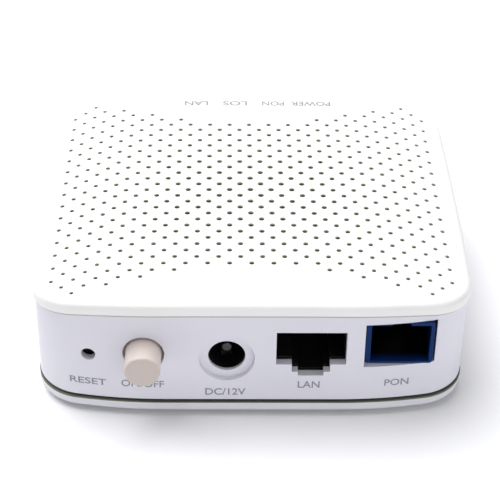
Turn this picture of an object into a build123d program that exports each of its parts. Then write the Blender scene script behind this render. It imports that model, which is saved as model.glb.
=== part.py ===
"""Optical network terminal: a crowned, perforated case in three shells over one circuit board.

Millimetres, +Z up. The feet stand on Z = 0 and the port wall looks along -Y. X = 0 is the case's middle;
the case's middle in Y is case_y, so that Y = 0 is half-way between the power button's tip and the LED side.
"""

import os
from math import hypot, sqrt

from build123d import *

os.makedirs("parts", exist_ok=True)

# case
half_width, half_depth = 38.3, 35.2
side_bow, end_flat, end_radius = 0.5, 15.0, 80.0
corner_radius = 9.4
case_top = 24.5
crown_drop, crown_power = 2.1, 4.2
button_proud = 5.0
wall_inset, wall_thickness, base_inset = 0.45, 1.5, 0.3
case_y = (button_proud - wall_inset) / 2
foot_height, rim_top = 1.0, 3.2
wall_foot = 3.75
gasket_inset = 0.8
panel_half, panel_split_y = 33.2, -25.0
cover_band, seam_gap, cover_plate = 2.13, 0.15, 1.6
crest_radius = 0.85
lip_clearance, lip_width, lip_top, cover_lip = 0.1, 1.0, 5.5, 3.1
wall_inside = wall_inset + wall_thickness
wall_y = case_y - half_depth + wall_inset

# vent field: a diagonal lattice whose holes shrink away from the middle
vent_pitch = 1.909
vent_wide, vent_shrink, vent_reach, vent_step = 1.10, 0.42, 45.0, 0.06
corner_rows = {13: (7, 17), 14: (10, 18), 15: (13, 17), 16: (16, 16)}

# ports, as (x, z) on the port wall
reset_at, reset_hole = (-28.0, 12.95), 2.5
button_at, button_hole, button_width = (-18.5, 13.8), 7.15, 6.15
dc_at, dc_recess, dc_hole, dc_pin_width = (-4.28, 12.85), 9.6, 6.4, 2.0
lan_x = 10.17
lan_steps = [(12.0, 11.62, 18.54), (6.58, 9.97, 12.0), (4.41, 9.15, 12.0)]
pon_at, pon_cutout = (25.4, 15.52), (12.3, 9.15)

# fastenings and lights, as (x, y) from the case's middle
board_z, board_thickness = 4.8, 1.6
board_top = board_z + board_thickness
post_top = 18.5
case_screw_at = [(-31.0, -2.0), (31.0, -2.0), (-20.0, 26.0), (20.0, 26.0)]
board_screw_at = [(-11.6, -24.0), (-31.0, 12.0)]
foot_at = [(-27.5, -24.0), (27.5, -24.0), (-27.5, 24.0), (27.5, 24.0)]
led_x = [-11.43, -3.81, 3.81, 11.43]
led_y, led_z = 28.0, 12.4


def level(z):
    """The horizontal plane at height z, centred on the case."""
    return Plane((0, case_y, z))


def behind(depth):
    """The upright plane this far behind the port wall's outer face: x, z across it and its normal outwards."""
    return Plane(origin=(0, wall_y + depth, 0), x_dir=(1, 0, 0), z_dir=(0, -1, 0))


def outline(inset):
    """The case's plan, this far inside the cover's edge: bowed sides, and ends flat in the middle and swept back."""
    wide, deep, sweep = half_width - inset, half_depth - inset, end_radius - inset
    corner = wide - side_bow
    middle = (end_flat + corner) / 2
    middle_y, corner_y = (deep - sweep + sqrt(sweep**2 - (x - end_flat) ** 2) for x in (middle, corner))
    with BuildSketch() as plan:
        with BuildLine():
            for s in (-1, 1):
                Line((-end_flat, s * deep), (end_flat, s * deep))
                for t in (-1, 1):
                    ThreePointArc((t * end_flat, s * deep), (t * middle, s * middle_y), (t * corner, s * corner_y))
                ThreePointArc((s * corner, -corner_y), (s * wide, 0), (s * corner, corner_y))
        make_face()
        fillet([v for v in plan.vertices() if abs(v.X) > end_flat + 1], corner_radius - inset)
    return plan.sketch


def crown(x):
    """Height of the cover's top at this distance from the middle."""
    return case_top - crown_drop * (abs(x) / half_width) ** crown_power


def crown_band(plan, upper, lower):
    """The solid over a plan shape, from one depth below the crowned top to another."""
    xs = [i * 2.6 for i in range(-15, 16)]
    with BuildPart() as band:
        with BuildSketch(level(wall_foot)):
            add(plan)
        extrude(amount=case_top)
        with BuildSketch(Plane.XZ):
            with BuildLine():
                top = Spline([(x, crown(x) - upper) for x in xs])
                foot = Spline([(x, crown(x) - lower) for x in xs])
                Line(top @ 0, foot @ 0)
                Line(top @ 1, foot @ 1)
            make_face()
        extrude(amount=50, both=True, mode=Mode.INTERSECT)
    return band.part


def vent_holes():
    """The vent holes' places from the case's middle, listed under each diameter."""
    holes = {}
    for row in range(-16, 17):
        low, high = corner_rows.get(abs(row), (0, 18))
        for column in range(-18, 19):
            if (row + column) % 2 == 0 and low <= abs(column) <= high:
                x, y = column * vent_pitch, row * vent_pitch
                reach = min(1.0, hypot(x, y) / vent_reach)
                width = round((vent_wide - vent_shrink * reach) / vent_step) * vent_step
                holes.setdefault(width, []).append((x, y))
    return holes


cover_plan, wall_plan, base_plan = outline(0), outline(wall_inset), outline(base_inset)
wall_inner = outline(wall_inside)
lip_plan = outline(wall_inside + lip_clearance)
lip_inner = outline(wall_inside + lip_clearance + lip_width)
wall_ring = wall_plan - wall_inner
lip_ring = lip_plan - lip_inner
cover_body = crown_band(cover_plan, 0, cover_band)
cover_hollow = crown_band(lip_plan, cover_plate, cover_band + 0.1)
cover_rib = crown_band(lip_ring, cover_plate - 0.2, cover_lip)
wall_body = crown_band(wall_ring, cover_band + seam_gap, 40)

# ---------------------------------------------------------------- shells

with BuildPart() as top_cover:
    add(cover_body)
    crest = top_cover.faces().sort_by(Axis.Z)[-1].edges()
    fillet(crest, crest_radius)
    add(cover_hollow, mode=Mode.SUBTRACT)
    add(cover_rib)
    for width, places in vent_holes().items():
        with Locations(*[(x, case_y + y, case_top - 1.5) for x, y in places]):
            Cylinder(width / 2, 5, mode=Mode.SUBTRACT)
top_cover.part.label = "top_cover"
export_step(top_cover.part, "parts/top_cover.step")

with BuildPart() as port_panel:
    add(wall_body)
    with BuildSketch(level(0)):
        with Locations((0, panel_split_y)):
            Rectangle(2 * panel_half, 20, align=(Align.CENTER, Align.MAX))
    extrude(amount=30, mode=Mode.INTERSECT)
    with BuildSketch(behind(-2)):
        with Locations(reset_at):
            Circle(reset_hole / 2)
        with Locations(button_at):
            Circle(button_hole / 2)
        with Locations(dc_at):
            Circle(dc_hole / 2)
        for width, low, high in lan_steps:
            with Locations((lan_x, (low + high) / 2)):
                Rectangle(width, high - low)
        with Locations(pon_at):
            Rectangle(*pon_cutout)
    extrude(amount=-9, mode=Mode.SUBTRACT)
    with BuildSketch(behind(0.85)):
        with Locations(dc_at):
            Circle(dc_recess / 2)
    extrude(amount=3, mode=Mode.SUBTRACT)
port_panel.part.label = "port_panel"
export_step(port_panel.part, "parts/port_panel.step")

with BuildPart() as wall_frame:
    add(wall_body)
    with BuildSketch(level(0)):
        with Locations((0, panel_split_y)):
            Rectangle(2 * panel_half, 20, align=(Align.CENTER, Align.MAX))
    extrude(amount=30, mode=Mode.SUBTRACT)
    with BuildSketch(behind(2 * half_depth - 5)):
        with Locations(*[(x, led_z) for x in led_x]):
            Circle(1.1)
    extrude(amount=-8, mode=Mode.SUBTRACT)
    with BuildSketch(level(board_top + 0.1)):
        with Locations(*case_screw_at):
            Circle(3.2)
        with Locations((-34.2, -2), (34.2, -2)):
            Rectangle(5.4, 1.6)
        with Locations((-20, 30.2), (20, 30.2)):
            Rectangle(1.6, 7.0)
        with Locations(*case_screw_at):
            Circle(1.35, mode=Mode.SUBTRACT)
    extrude(amount=post_top - board_top - 0.1)
wall_frame.part.label = "wall_frame"
export_step(wall_frame.part, "parts/wall_frame.step")

with BuildPart() as base_tray:
    with BuildSketch(level(foot_height)):
        add(base_plan)
    extrude(amount=rim_top - foot_height)
    fillet(base_tray.faces().sort_by(Axis.Z)[0].edges(), 0.9)
    with BuildSketch(level(rim_top)):
        with Locations(*case_screw_at):
            Circle(3.4)
        with Locations(*board_screw_at):
            Circle(2.4)
    extrude(amount=board_z - rim_top)
    with BuildSketch(level(board_z + 1)):
        with Locations(*case_screw_at):
            Circle(1.45)
    extrude(amount=-5, mode=Mode.SUBTRACT)
    with BuildSketch(level(foot_height - 1)):
        with Locations(*case_screw_at):
            Circle(2.6)
    extrude(amount=3.1, mode=Mode.SUBTRACT)
    with BuildSketch(level(board_z + 1)):
        with Locations(*board_screw_at):
            Circle(1.05)
    extrude(amount=-4, mode=Mode.SUBTRACT)
    with BuildSketch(level(foot_height - 1)):
        with Locations(*foot_at):
            Circle(4.2)
    extrude(amount=1.3, mode=Mode.SUBTRACT)
    with BuildSketch(level(foot_height - 1)):
        for i in range(-5, 6):
            with Locations((i * 3.6, 12)):
                SlotCenterToCenter(12, 1.5, rotation=90)
    extrude(amount=4, mode=Mode.SUBTRACT)
base_tray.part.label = "base_tray"
export_step(base_tray.part, "parts/base_tray.step")

with BuildPart() as gasket_ring:
    with BuildSketch(level(rim_top)):
        add(outline(gasket_inset) - lip_inner)
    extrude(amount=wall_foot - rim_top)
    with BuildSketch(level(wall_foot)):
        add(lip_ring)
    extrude(amount=lip_top - wall_foot)
gasket_ring.part.label = "gasket_ring"
export_step(gasket_ring.part, "parts/gasket_ring.step")

with BuildPart() as rubber_feet:
    with BuildSketch(level(0)):
        with Locations(*foot_at):
            Circle(4.0)
    extrude(amount=foot_height + 0.3)
    chamfer(rubber_feet.edges().group_by(Axis.Z)[0], 0.3)
rubber_feet.part.label = "rubber_feet"
export_step(rubber_feet.part, "parts/rubber_feet.step")

with BuildPart() as rating_label:
    with BuildSketch(level(foot_height - 0.1)):
        with Locations((0, -12)):
            RectangleRounded(42, 24, 1.5)
    extrude(amount=0.1)
rating_label.part.label = "rating_label"
export_step(rating_label.part, "parts/rating_label.step")

with BuildPart() as case_screws:
    with BuildSketch(level(foot_height + 0.5)):
        with Locations(*case_screw_at):
            Circle(2.3)
    extrude(amount=1.6)
    chamfer(case_screws.edges().group_by(Axis.Z)[0], 0.4)
    with BuildSketch(level(foot_height + 2.1)):
        with Locations(*case_screw_at):
            Circle(1.3)
    extrude(amount=11)
    with BuildSketch(level(foot_height)):
        with Locations(*case_screw_at):
            Rectangle(2.6, 0.6)
            Rectangle(0.6, 2.6)
    extrude(amount=1.3, mode=Mode.SUBTRACT)
case_screws.part.label = "case_screws"
export_step(case_screws.part, "parts/case_screws.step")

with BuildPart() as light_pipe:
    for x in led_x:
        with BuildSketch(Plane.YZ.offset(x - 0.9)):
            with Locations((case_y, 0)):
                Polygon((led_y - 1.2, 7.8), (led_y + 1.2, 7.8), (led_y + 1.2, led_z - 0.9), (32.4, led_z - 0.9),
                        (32.4, led_z + 0.9), (led_y + 0.6, led_z + 0.9), (led_y - 1.2, led_z - 0.9), align=None)
        extrude(amount=1.8)
        with BuildSketch(behind(2 * (half_depth - wall_inset) - 2.4)):
            with Locations((x, led_z)):
                Circle(0.95)
        extrude(amount=-2.3)
    with BuildSketch(level(9.4)):
        with Locations((0, led_y)):
            Rectangle(led_x[-1] * 2, 1.6)
    extrude(amount=1.4)
light_pipe.part.label = "light_pipe"
export_step(light_pipe.part, "parts/light_pipe.step")

# ---------------------------------------------------------------- board and fixings

with BuildPart() as circuit_board:
    with BuildSketch(level(board_z)):
        RectangleRounded(69, 62.4, 9)
        with Locations(*case_screw_at):
            Circle(1.6, mode=Mode.SUBTRACT)
        with Locations(*board_screw_at):
            Circle(1.2, mode=Mode.SUBTRACT)
    extrude(amount=board_thickness)
circuit_board.part.label = "circuit_board"
export_step(circuit_board.part, "parts/circuit_board.step")

with BuildPart() as board_screws:
    with BuildSketch(level(board_top)):
        with Locations(*board_screw_at):
            Circle(2.0)
    extrude(amount=1.3)
    chamfer(board_screws.edges().group_by(Axis.Z)[-1], 0.4)
    with BuildSketch(level(board_top)):
        with Locations(*board_screw_at):
            Circle(1.0)
    extrude(amount=-4.2)
    with BuildSketch(level(board_top + 2)):
        with Locations(*board_screw_at):
            Rectangle(2.2, 0.5)
            Rectangle(0.5, 2.2)
    extrude(amount=-1.5, mode=Mode.SUBTRACT)
board_screws.part.label = "board_screws"
export_step(board_screws.part, "parts/board_screws.step")

# ---------------------------------------------------------------- network port

with BuildPart() as lan_jack_housing:
    with BuildSketch(behind(2.1)):
        with Locations((lan_x, 13.0)):
            Rectangle(15.4, 13.0)
    extrude(amount=-20.2)
    with BuildSketch(behind(1.5)):
        for width, low, high in lan_steps:
            with Locations((lan_x, (low + high) / 2)):
                Rectangle(width, high - low)
    extrude(amount=-14.5, mode=Mode.SUBTRACT)
lan_jack_housing.part.label = "lan_jack_housing"
export_step(lan_jack_housing.part, "parts/lan_jack_housing.step")

with BuildPart() as lan_jack_shield:
    with BuildSketch(behind(2.2)):
        with Locations((lan_x, 13.2)):
            Rectangle(16.1, 13.4)
    extrude(amount=-20.6)
    with BuildSketch(behind(1.0)):
        with Locations((lan_x, 12.8)):
            Rectangle(15.5, 13.5)
    extrude(amount=-21.5, mode=Mode.SUBTRACT)
lan_jack_shield.part.label = "lan_jack_shield"
export_step(lan_jack_shield.part, "parts/lan_jack_shield.step")

with BuildPart() as lan_jack_contacts:
    for i in range(8):
        x = lan_x + (i - 3.5) * 1.02
        with BuildSketch(Plane.YZ.offset(x - 0.2)):
            with Locations((wall_y, 0)):
                Polygon((4.0, 18.5), (4.0, 18.1), (13.6, 16.3), (16.0, 16.3), (16.0, 16.7), (13.7, 16.7),
                        (4.6, 18.4), (4.6, 18.5), align=None)
        extrude(amount=0.4)
lan_jack_contacts.part.label = "lan_jack_contacts"
export_step(lan_jack_contacts.part, "parts/lan_jack_contacts.step")

# ---------------------------------------------------------------- power inlet

with BuildPart() as dc_jack_body:
    with BuildSketch(behind(1.6)):
        with Locations((dc_at[0], 11.95)):
            Rectangle(9.0, 10.9)
    extrude(amount=-3.4)
    with BuildSketch(behind(5.0)):
        with Locations(dc_at):
            Circle(4.4)
        with Locations((dc_at[0], 9.65)):
            Rectangle(8.8, 6.3)
    extrude(amount=-10.8)
    with BuildSketch(behind(1.5)):
        with Locations(dc_at):
            Circle(dc_hole / 2)
    extrude(amount=-10.7, mode=Mode.SUBTRACT)
    with BuildSketch(behind(11)):
        with Locations(dc_at):
            Circle(0.83)
    extrude(amount=-6, mode=Mode.SUBTRACT)
    with BuildSketch(behind(5)):
        with Locations((dc_at[0], 9.1)):
            Rectangle(2.6, 2.0)
    extrude(amount=-12, mode=Mode.SUBTRACT)
dc_jack_body.part.label = "dc_jack_body"
export_step(dc_jack_body.part, "parts/dc_jack_body.step")

with BuildPart() as dc_jack_pin:
    with BuildSketch(behind(3.1)):
        with Locations(dc_at):
            Circle(dc_pin_width / 2)
    extrude(amount=-9.1)
    fillet(dc_jack_pin.edges().group_by(Axis.Y)[0], 0.35)
    with BuildSketch(behind(12.2)):
        with Locations(dc_at):
            Circle(0.8)
    extrude(amount=-4.4)
    with BuildSketch(behind(16.2)):
        with Locations((dc_at[0], 10.15)):
            Rectangle(1.6, 7.4)
    extrude(amount=-0.4)
dc_jack_pin.part.label = "dc_jack_pin"
export_step(dc_jack_pin.part, "parts/dc_jack_pin.step")

with BuildPart() as dc_jack_spring:
    with BuildSketch(Plane.YZ.offset(dc_at[0] - 1.0)):
        with Locations((wall_y, 0)):
            Polygon((5.6, 8.5), (8.0, 9.8), (10.0, 9.8), (12.0, 8.7), (15.6, 8.7), (15.6, 8.4), (11.9, 8.4),
                    (9.9, 9.5), (8.1, 9.5), (5.8, 8.2), align=None)
    extrude(amount=2.0)
dc_jack_spring.part.label = "dc_jack_spring"
export_step(dc_jack_spring.part, "parts/dc_jack_spring.step")

# ---------------------------------------------------------------- power switch

with BuildPart() as power_switch_body:
    with BuildSketch(behind(6.8)):
        with Locations((button_at[0], 12.4)):
            Rectangle(8.5, 12.0)
    extrude(amount=-12.5)
    with BuildSketch(behind(6.5)):
        with Locations(button_at):
            Rectangle(4.3, 4.3)
    extrude(amount=-11, mode=Mode.SUBTRACT)
power_switch_body.part.label = "power_switch_body"
export_step(power_switch_body.part, "parts/power_switch_body.step")

with BuildPart() as power_switch_plunger:
    with BuildSketch(behind(-1.0)):
        with Locations(button_at):
            Rectangle(3.4, 3.4)
    extrude(amount=-14.6)
power_switch_plunger.part.label = "power_switch_plunger"
export_step(power_switch_plunger.part, "parts/power_switch_plunger.step")

with BuildPart() as power_button_cap:
    with BuildSketch(behind(1.85)):
        with Locations(button_at):
            Circle(4.2)
    extrude(amount=-0.8)
    with BuildSketch(behind(3.5)):
        with Locations(button_at):
            Circle(button_width / 2)
    extrude(amount=3.5 + button_proud)
    fillet(power_button_cap.edges().group_by(Axis.Y)[0], 0.5)
    with BuildSketch(behind(4.0)):
        with Locations(button_at):
            Rectangle(3.5, 3.5)
    extrude(amount=5.1, mode=Mode.SUBTRACT)
power_button_cap.part.label = "power_button_cap"
export_step(power_button_cap.part, "parts/power_button_cap.step")

# ---------------------------------------------------------------- reset switch

with BuildPart() as reset_switch_body:
    with BuildSketch(behind(4.4)):
        with Locations(reset_at):
            RectangleRounded(6.0, 6.0, 0.5)
    extrude(amount=-3.4)
    with BuildSketch(behind(4.0)):
        with Locations(reset_at):
            Circle(1.95)
    extrude(amount=-2.6, mode=Mode.SUBTRACT)
reset_switch_body.part.label = "reset_switch_body"
export_step(reset_switch_body.part, "parts/reset_switch_body.step")

with BuildPart() as reset_switch_bracket:
    for side in (-1, 1):
        with BuildSketch(behind(4.6)):
            with Locations((reset_at[0] + side * 3.2, 10.75)):
                Rectangle(0.3, 8.6)
        extrude(amount=-3.4)
    with BuildSketch(behind(7.9)):
        with Locations((reset_at[0], 10.75)):
            Rectangle(6.7, 8.6)
    extrude(amount=-0.3)
reset_switch_bracket.part.label = "reset_switch_bracket"
export_step(reset_switch_bracket.part, "parts/reset_switch_bracket.step")

with BuildPart() as reset_plunger:
    with BuildSketch(behind(3.2)):
        with Locations(reset_at):
            Circle(1.6)
    extrude(amount=-2.9)
    chamfer(reset_plunger.edges().group_by(Axis.Y)[0], 0.25)
reset_plunger.part.label = "reset_plunger"
export_step(reset_plunger.part, "parts/reset_plunger.step")

# ---------------------------------------------------------------- optical port

with BuildPart() as optical_receptacle:
    with BuildSketch(behind(1.1)):
        with Locations(pon_at):
            RectangleRounded(11.9, 8.85, 0.6)
    extrude(amount=-18.5)
    with BuildSketch(behind(1.0)):
        with Locations(pon_at):
            Rectangle(9.3, 7.4)
            with Locations((0, 3.7)):
                Rectangle(3.2, 1.0)
    extrude(amount=-15, mode=Mode.SUBTRACT)
    with BuildSketch(behind(14)):
        with Locations(pon_at):
            Circle(1.85)
    extrude(amount=-7, mode=Mode.SUBTRACT)
    with BuildSketch(behind(9.5)):
        with Locations((pon_at[0] - 6.4, pon_at[1]), (pon_at[0] + 6.4, pon_at[1])):
            Rectangle(1.2, 7.0)
    extrude(amount=-1.2)
optical_receptacle.part.label = "optical_receptacle"
export_step(optical_receptacle.part, "parts/optical_receptacle.step")

with BuildPart() as ferrule_sleeve:
    with BuildSketch(behind(9.4)):
        with Locations(pon_at):
            Circle(1.8)
            Circle(1.25, mode=Mode.SUBTRACT)
    extrude(amount=-10.4)
ferrule_sleeve.part.label = "ferrule_sleeve"
export_step(ferrule_sleeve.part, "parts/ferrule_sleeve.step")

with BuildPart() as transceiver_body:
    with BuildSketch(behind(19.9)):
        with Locations(pon_at):
            Circle(3.4)
    extrude(amount=-1.4)
    with BuildSketch(behind(21.3)):
        with Locations(pon_at):
            Rectangle(7.4, 7.4)
    extrude(amount=-6.2)
    chamfer(transceiver_body.edges().filter_by(Axis.Y), 0.6)
transceiver_body.part.label = "transceiver_body"
export_step(transceiver_body.part, "parts/transceiver_body.step")

with BuildPart() as laser_can:
    with BuildSketch(behind(27.6)):
        with Locations(pon_at):
            Circle(2.8)
    extrude(amount=-1.2)
    with BuildSketch(behind(28.8)):
        with Locations(pon_at):
            Circle(2.1)
    extrude(amount=-1.6)
    for x, z in [(-0.9, -0.9), (-0.9, 0.9), (0.9, -0.9), (0.9, 0.9)]:
        with BuildSketch(behind(30.4)):
            with Locations((pon_at[0] + x, pon_at[1] + z)):
                Circle(0.22)
        extrude(amount=-4.5)
laser_can.part.label = "laser_can"
export_step(laser_can.part, "parts/laser_can.step")

with BuildPart() as photodiode_can:
    with BuildSketch(Plane.YZ.offset(pon_at[0] - 3.8)):
        with Locations((wall_y + 25.6, pon_at[1])):
            Circle(2.7)
    extrude(amount=-1.2)
    with BuildSketch(Plane.YZ.offset(pon_at[0] - 5.0)):
        with Locations((wall_y + 25.6, pon_at[1])):
            Circle(2.1)
    extrude(amount=-1.6)
photodiode_can.part.label = "photodiode_can"
export_step(photodiode_can.part, "parts/photodiode_can.step")

with BuildPart() as transceiver_cradle:
    with BuildSketch(behind(12.0)):
        with Locations((pon_at[0], 8.65)):
            Rectangle(12.6, 4.5)
    extrude(amount=-15.5)
    with BuildSketch(behind(11.9)):
        with Locations((pon_at[0], 8.65)):
            Rectangle(9.4, 5)
    extrude(amount=-13.0, mode=Mode.SUBTRACT)
transceiver_cradle.part.label = "transceiver_cradle"
export_step(transceiver_cradle.part, "parts/transceiver_cradle.step")

# ---------------------------------------------------------------- board components

with BuildPart() as lan_transformer:
    with BuildSketch(level(board_top + 0.3)):
        with Locations((9.0, -3.5)):
            Rectangle(14.4, 9.4)
    extrude(amount=5.2)
    chamfer(lan_transformer.edges().group_by(Axis.Z)[-1], 0.4)
    for side in (-1, 1):
        with BuildSketch(level(board_top)):
            for i in range(8):
                with Locations((9.0 + (i - 3.5) * 1.6, -3.5 + side * 5.1)):
                    Rectangle(0.5, 1.0)
        extrude(amount=0.5)
lan_transformer.part.label = "lan_transformer"
export_step(lan_transformer.part, "parts/lan_transformer.step")

with BuildPart() as main_chip:
    with BuildSketch(level(board_top + 0.1)):
        with Locations((-4.0, 11.8)):
            Rectangle(14, 14)
    extrude(amount=1.1)
    chamfer(main_chip.edges().group_by(Axis.Z)[-1], 0.2)
main_chip.part.label = "main_chip"
export_step(main_chip.part, "parts/main_chip.step")

with BuildPart() as thermal_pad:
    with BuildSketch(level(board_top + 1.2)):
        with Locations((-4.0, 11.8)):
            Rectangle(12, 12)
    extrude(amount=0.5)
thermal_pad.part.label = "thermal_pad"
export_step(thermal_pad.part, "parts/thermal_pad.step")

with BuildPart() as heat_sink:
    with BuildSketch(level(board_top + 1.7)):
        with Locations((-4.0, 11.8)):
            Rectangle(19, 19)
    extrude(amount=1.8)
    with BuildSketch(level(board_top + 3.5)):
        for i in range(9):
            with Locations((-4.0 + (i - 4) * 2.25, 11.8)):
                Rectangle(0.9, 19)
    extrude(amount=5.5)
heat_sink.part.label = "heat_sink"
export_step(heat_sink.part, "parts/heat_sink.step")

with BuildPart() as memory_chip:
    with BuildSketch(level(board_top + 0.1)):
        with Locations((12.4, 10.0)):
            Rectangle(8, 12.5)
    extrude(amount=1.0)
memory_chip.part.label = "memory_chip"
export_step(memory_chip.part, "parts/memory_chip.step")

with BuildPart() as flash_chip:
    with BuildSketch(level(board_top + 0.1)):
        with Locations((-21.0, 12.0)):
            Rectangle(6, 8)
    extrude(amount=0.9)
flash_chip.part.label = "flash_chip"
export_step(flash_chip.part, "parts/flash_chip.step")

with BuildPart() as driver_shield:
    with BuildSketch(level(board_top)):
        with Locations((25.0, 12.4)):
            RectangleRounded(13, 15, 0.8)
    extrude(amount=2.6)
    with BuildSketch(level(board_top - 0.1)):
        with Locations((25.0, 12.4)):
            Rectangle(12.5, 14.5)
    extrude(amount=2.4, mode=Mode.SUBTRACT)
driver_shield.part.label = "driver_shield"
export_step(driver_shield.part, "parts/driver_shield.step")

with BuildPart() as electrolytic_capacitors:
    for x, y in [(-20.0, -7.6), (-10.4, -7.6)]:
        with BuildSketch(level(board_top)):
            with Locations((x, y)):
                Circle(4.0)
        extrude(amount=11.5)
    chamfer(electrolytic_capacitors.edges().group_by(Axis.Z)[-1], 0.4)
electrolytic_capacitors.part.label = "electrolytic_capacitors"
export_step(electrolytic_capacitors.part, "parts/electrolytic_capacitors.step")

with BuildPart() as power_inductors:
    with BuildSketch(level(board_top)):
        with Locations((-30.0, -12.5), (-21.5, 2.0)):
            RectangleRounded(6.6, 6.6, 1.2)
    extrude(amount=3.2)
    chamfer(power_inductors.edges().group_by(Axis.Z)[-1], 0.3)
power_inductors.part.label = "power_inductors"
export_step(power_inductors.part, "parts/power_inductors.step")

with BuildPart() as crystal:
    with BuildSketch(level(board_top)):
        with Locations((3.0, 24.6)):
            RectangleRounded(5.0, 3.2, 0.6)
    extrude(amount=1.1)
crystal.part.label = "crystal"
export_step(crystal.part, "parts/crystal.step")

with BuildPart() as ceramic_capacitors:
    with BuildSketch(level(board_top)):
        for i in range(6):
            with Locations((-15.0, 3.0 + i * 2.4)):
                Rectangle(1.6, 0.8)
            with Locations((17.4, 5.0 + i * 2.4)):
                Rectangle(1.6, 0.8)
    extrude(amount=0.8)
ceramic_capacitors.part.label = "ceramic_capacitors"
export_step(ceramic_capacitors.part, "parts/ceramic_capacitors.step")

with BuildPart() as status_leds:
    with BuildSketch(level(board_top)):
        for x in led_x:
            with Locations((x, led_y)):
                Rectangle(1.6, 0.8)
    extrude(amount=0.7)
status_leds.part.label = "status_leds"
export_step(status_leds.part, "parts/status_leds.step")
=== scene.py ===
import math

import bmesh
import bpy
from bpy.props import FloatProperty, FloatVectorProperty, IntProperty, PointerProperty
from mathutils import Euler, Matrix, Vector


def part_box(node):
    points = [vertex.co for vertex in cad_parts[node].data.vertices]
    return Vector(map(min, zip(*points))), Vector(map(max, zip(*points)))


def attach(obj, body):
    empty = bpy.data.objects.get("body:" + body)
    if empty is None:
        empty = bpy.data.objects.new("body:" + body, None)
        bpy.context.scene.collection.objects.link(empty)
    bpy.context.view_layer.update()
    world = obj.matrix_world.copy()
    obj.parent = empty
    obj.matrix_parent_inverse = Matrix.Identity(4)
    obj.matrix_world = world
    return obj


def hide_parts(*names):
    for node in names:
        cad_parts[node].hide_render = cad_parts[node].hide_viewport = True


bl_info = {
    "name": "Optical network terminal",
    "version": (1, 0, 0),
    "blender": (4, 5, 0),
    "location": "View3D > Sidebar > Terminal",
    "description": "Builds the looks of a small fibre terminal round its packed CAD model",
    "category": "Object",
}

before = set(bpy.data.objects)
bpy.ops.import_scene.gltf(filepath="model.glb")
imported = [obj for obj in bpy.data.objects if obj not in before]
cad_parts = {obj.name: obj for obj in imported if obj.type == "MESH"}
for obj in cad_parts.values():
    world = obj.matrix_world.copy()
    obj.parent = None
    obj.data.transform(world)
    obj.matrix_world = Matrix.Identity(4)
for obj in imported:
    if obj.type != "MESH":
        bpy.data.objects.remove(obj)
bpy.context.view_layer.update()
MM = 0.001
COVER_LOW, COVER_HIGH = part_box("top_cover")
CASE_Y = (COVER_LOW.y + COVER_HIGH.y) / 2 / MM
HALF_WIDTH = (COVER_HIGH.x - COVER_LOW.x) / 2 / MM
HALF_DEPTH = (COVER_HIGH.y - COVER_LOW.y) / 2 / MM
TOP = COVER_HIGH.z / MM

# how far the base's rim lies below the wall's foot, in millimetres
SEAM_GAP = 0.55
# the camera, in millimetres from the case's middle and degrees, and its lens
CAMERA_AT, CAMERA_LENS = (-4.54, -241.63, 185.14), 113.2
CAMERA_DOWN, CAMERA_TURN, CAMERA_ROLL = 35.82, -1.098, 0.815
# each light's name, place and size in metres, and power in watts
LIGHTS = [("overhead_softbox", (-0.26, 0.24, 0.76), 0.9, 11.0), ("front_softbox", (0.30, -0.95, 0.40), 0.6, 1.8),
          ("side_softbox", (0.80, -0.45, 0.35), 0.4, 1.2)]


def hex_colour(code):
    """A linear colour from an sRGB hex value."""
    parts = [int(code[i:i + 2], 16) / 255 for i in (0, 2, 4)]
    return tuple(p / 12.92 if p <= 0.04045 else ((p + 0.055) / 1.055) ** 2.4 for p in parts)


# ---------------------------------------------------------------- settings

def length(name, description, default):
    return FloatProperty(name=name, description=description, default=default * MM, unit="LENGTH", precision=5)


def colour(name, description, code):
    return FloatVectorProperty(name=name, description=description, default=hex_colour(code), subtype="COLOR",
                               size=3, min=0, max=1)


class TERMINAL_CaseSettings(bpy.types.PropertyGroup):
    crown_drop: length("Crown drop", "How far the top falls from its middle to its sides", 2.1)
    crown_power: FloatProperty(name="Crown power", description="How late the fall of the crown sets in", default=4.2)
    crest_radius: length("Crest radius", "Rounding between the cover's band and its top", 0.85)
    cover_band: length("Cover band", "Height of the cover's edge", 2.13)
    cover_plate: length("Cover plate", "Thickness of the cover's top", 1.6)
    cover_lip: length("Cover lip", "How far below the crown the cover's inner lip reaches", 3.1)
    lip_inset: length("Lip inset", "How far inside the cover's edge its lip lies", 2.05)
    lip_width: length("Lip width", "Thickness of the cover's lip", 1.0)
    wall_inset: length("Wall inset", "How far the wall lies inside the cover's edge", 0.45)
    side_bow: length("Side bow", "How far the sides bulge", 0.5)
    end_flat: length("End flat", "Half the flat length of the port wall", 15.0)
    end_radius: length("End sweep", "Radius on which the ends of the port wall sweep back", 80.0)
    corner_radius: length("Corner radius", "Plan radius of the case's corners", 9.4)
    edge: length("Edge softness", "Rounding that moulding leaves on sharp edges", 0.12)


class TERMINAL_VentSettings(bpy.types.PropertyGroup):
    pitch: length("Half pitch", "Half the distance between holes along a row", 1.909)
    columns: IntProperty(name="Columns", description="Half pitches from the middle to the last column", default=18)
    rows: IntProperty(name="Rows", description="Half pitches from the middle to the last row", default=16)
    full_rows: IntProperty(name="Full rows", description="Half pitches to the last row that runs right across",
                           default=12)
    corner_reach: IntProperty(name="Corner reach", description="Cuts the field off at its corners", default=32)
    wide: length("Widest hole", "Diameter at the middle of the top", 1.10)
    shrink: length("Shrink", "How much smaller the holes get towards the edge", 0.42)
    reach: length("Reach", "Distance over which the holes shrink", 45.0)
    sides: IntProperty(name="Hole sides", description="Sides of each hole", default=20, min=8)
    rim: FloatProperty(name="Rim", description="Rounding of each hole's mouth, as a share of its radius", default=0.06)
    relief: FloatProperty(name="Relief", default=0.55,
                          description="How much wider each hole is below its thin edge, as a share of its radius")


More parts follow.
